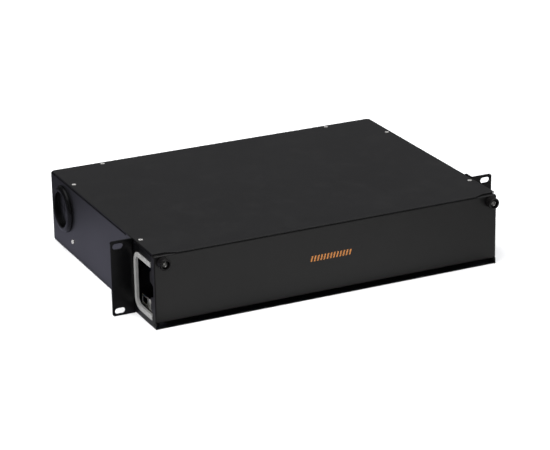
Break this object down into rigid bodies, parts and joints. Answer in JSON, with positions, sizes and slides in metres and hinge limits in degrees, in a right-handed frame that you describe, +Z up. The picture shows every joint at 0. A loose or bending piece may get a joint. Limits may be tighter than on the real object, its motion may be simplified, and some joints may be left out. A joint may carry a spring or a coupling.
{
  "type": "rack fibre distribution enclosure",
  "caption": "Two-unit rack enclosure for optical fibre: folded steel case, drop-down front cover held by thumbscrews, side cord openings, adapter bulkhead and splice trays.",
  "frame": {"origin": "on the base face, centred across the width, in the plane of the rack rails, which is the rear face of the ears", "axes": "+X across the rack towards the right ear as seen from the front, +Y from the front cover to the rear panel, +Z up"},
  "size_m": [0.4826, 0.3305, 0.0881],
  "materials": {
    "painted_steel": "fine black powder coat on steel sheet, satin",
    "zinc_steel": "bright zinc plated",
    "latch_black": "black moulded push latch",
    "hinge_black": "blackened steel, matt",
    "brass": "plain brass",
    "knob_black": "knurled black moulding, semi-gloss",
    "trim_grey": "soft grey edge profile",
    "rubber_black": "matt black rubber",
    "adapter_blue": "blue moulded plastic",
    "nylon_white": "natural white nylon",
    "tray_grey": "light grey moulded plastic",
    "holder_white": "white moulded plastic",
    "lid_clear": "clear polycarbonate"
  },
  "bodies": {
    "enclosure": {"adapter_frame": "painted_steel", "adapter_plate_centre": "painted_steel", "adapter_plate_left": "painted_steel", "adapter_plate_right": "painted_steel", "adapters": "adapter_blue", "cable_clamps": "zinc_steel", "chassis": "painted_steel", "clamp_screws": "zinc_steel", "cord_guides": "nylon_white", "dust_caps": "nylon_white", "ear_nuts": "zinc_steel", "ear_screws": "zinc_steel", "earth_nuts": "brass", "earth_stud": "brass", "frame_rivets": "zinc_steel", "front_sill": "painted_steel", "hinge_pins": "hinge_black", "latch_bushes": "latch_black", "left_cable_grommet": "rubber_black", "left_clamp_bracket": "painted_steel", "left_corner_bracket": "painted_steel", "left_edge_trim": "trim_grey", "left_fibre_spool": "tray_grey", "left_rack_ear": "painted_steel", "rear_panel": "painted_steel", "rear_screws": "zinc_steel", "right_cable_grommet": "rubber_black", "right_clamp_bracket": "painted_steel", "right_corner_bracket": "painted_steel", "right_edge_trim": "trim_grey", "right_fibre_spool": "tray_grey", "right_rack_ear": "painted_steel", "roof": "painted_steel", "roof_screws": "zinc_steel", "side_screws": "zinc_steel", "splice_holders": "holder_white", "splice_tray_lower": "tray_grey", "splice_tray_upper": "tray_grey", "spool_screws": "zinc_steel", "thread_inserts": "zinc_steel", "tray_lid": "lid_clear", "tray_nuts": "nylon_white", "tray_posts": "zinc_steel", "tray_spacers": "nylon_white"},
    "cover": {"front_cover": "painted_steel", "hinge_brackets": "hinge_black"},
    "left_ring": {"left_screw_ring": "zinc_steel"},
    "left_thumbscrew": {"left_screw_knob": "knob_black", "left_screw_stud": "zinc_steel"},
    "right_ring": {"right_screw_ring": "zinc_steel"},
    "right_thumbscrew": {"right_screw_knob": "knob_black", "right_screw_stud": "zinc_steel"},
    "plunger_1": {"latch_plunger_1": "latch_black"},
    "plunger_2": {"latch_plunger_2": "latch_black"},
    "plunger_3": {"latch_plunger_3": "latch_black"},
    "plunger_4": {"latch_plunger_4": "latch_black"},
    "plunger_5": {"latch_plunger_5": "latch_black"},
    "plunger_6": {"latch_plunger_6": "latch_black"}
  },
  "joints": [
    {"name": "cover_hinge", "type": "hinge", "parent": "enclosure", "child": "cover", "pos_m": [0, -0.057, 0.0056], "axis": [1, 0, 0], "range_deg": [0, 90]},
    {"name": "left_screw_travel", "type": "slide", "parent": "cover", "child": "left_ring", "axis": [0, -1, 0], "range_m": [0, 0.0049]},
    {"name": "left_screw_turn", "type": "hinge", "parent": "left_ring", "child": "left_thumbscrew", "pos_m": [-0.2047, -0.06, 0.0785], "axis": [0, -1, 0], "range_deg": [0, 2520]},
    {"name": "right_screw_travel", "type": "slide", "parent": "cover", "child": "right_ring", "axis": [0, -1, 0], "range_m": [0, 0.0049]},
    {"name": "right_screw_turn", "type": "hinge", "parent": "right_ring", "child": "right_thumbscrew", "pos_m": [0.2047, -0.06, 0.0785], "axis": [0, -1, 0], "range_deg": [0, 2520]},
    {"name": "plunger_1_pull", "type": "slide", "parent": "enclosure", "child": "plunger_1", "axis": [0, -1, 0], "range_m": [0, 0.004]},
    {"name": "plunger_2_pull", "type": "slide", "parent": "enclosure", "child": "plunger_2", "axis": [0, -1, 0], "range_m": [0, 0.004]},
    {"name": "plunger_3_pull", "type": "slide", "parent": "enclosure", "child": "plunger_3", "axis": [0, -1, 0], "range_m": [0, 0.004]},
    {"name": "plunger_4_pull", "type": "slide", "parent": "enclosure", "child": "plunger_4", "axis": [0, -1, 0], "range_m": [0, 0.004]},
    {"name": "plunger_5_pull", "type": "slide", "parent": "enclosure", "child": "plunger_5", "axis": [0, -1, 0], "range_m": [0, 0.004]},
    {"name": "plunger_6_pull", "type": "slide", "parent": "enclosure", "child": "plunger_6", "axis": [0, -1, 0], "range_m": [0, 0.004]}
  ],
  "couplings": [
    {"joint": "left_screw_turn", "follows": "left_screw_travel", "rad_per_m": 8975.9},
    {"joint": "right_screw_turn", "follows": "right_screw_travel", "rad_per_m": 8975.9}
  ]
}
